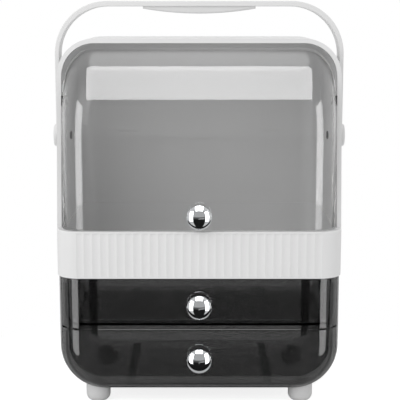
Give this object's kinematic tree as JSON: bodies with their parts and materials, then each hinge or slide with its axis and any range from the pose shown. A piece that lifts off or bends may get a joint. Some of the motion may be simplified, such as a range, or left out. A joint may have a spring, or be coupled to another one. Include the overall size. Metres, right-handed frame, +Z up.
{
  "type": "dustproof makeup organizer",
  "caption": "Tabletop makeup organizer: smoky hinged lid and white hood over a fluted tray, pull-out smoky drawers below, round domed knobs, round feet and a swinging carry handle.",
  "frame": {"origin": "on the table, under the middle of the bounding box", "axes": "+Z up, front towards -Y, +X to the right seen from the front"},
  "size_m": [0.303, 0.195, 0.4063],
  "materials": {
    "white_abs": "smooth semi-gloss moulded ABS",
    "smoky_lid": "clear polished, lightly smoked",
    "smoky_drawer": "clear polished, darkly smoked",
    "smoky_housing": "clear polished, darkly smoked",
    "grip_plastic": "smooth moulded plastic",
    "foot_plastic": "satin moulded plastic",
    "chrome": "polished plating",
    "steel": "zinc-plated steel",
    "dark_pin": "dark moulded plastic"
  },
  "bodies": {
    "casing": {"drawer_housing": "smoky_housing", "drawer_shelf": "smoky_housing", "fluted_tray": "white_abs", "rear_hood": "white_abs", "foot_front_left": "foot_plastic", "foot_front_right": "foot_plastic", "foot_rear_left": "foot_plastic", "foot_rear_right": "foot_plastic", "foot_screws": "steel", "tray_screws": "steel", "lid_hinge_pin_left": "white_abs", "lid_hinge_pin_right": "white_abs", "handle_pivot_pin_left": "dark_pin", "handle_pivot_pin_right": "dark_pin", "handle_pivot_washers": "steel", "handle_pivot_screws": "steel"},
    "lid": {"lid_cover": "smoky_lid", "lid_knob": "chrome", "lid_knob_screw": "steel"},
    "handle": {"handle_bail": "white_abs", "handle_grip": "grip_plastic", "handle_cap_left": "white_abs", "handle_cap_right": "white_abs"},
    "drawer_upper": {"upper_drawer": "smoky_drawer", "upper_drawer_knob": "chrome", "upper_drawer_knob_screw": "steel"},
    "drawer_lower": {"lower_drawer": "smoky_drawer", "lower_drawer_knob": "chrome", "lower_drawer_knob_screw": "steel"}
  },
  "joints": [
    {"name": "lid_hinge", "type": "hinge", "parent": "casing", "child": "lid", "pos_m": [0, -0.03245, 0.308], "axis": [-1, 0, 0], "range_deg": [0, 95]},
    {"name": "handle_pivot", "type": "hinge", "parent": "casing", "child": "handle", "pos_m": [0, 0.00755, 0.268], "axis": [-1, 0, 0], "range_deg": [-100, 125]},
    {"name": "upper_drawer_slide", "type": "slide", "parent": "casing", "child": "drawer_upper", "axis": [0, -1, 0], "range_m": [0, 0.13]},
    {"name": "lower_drawer_slide", "type": "slide", "parent": "casing", "child": "drawer_lower", "axis": [0, -1, 0], "range_m": [0, 0.13]}
  ]
}
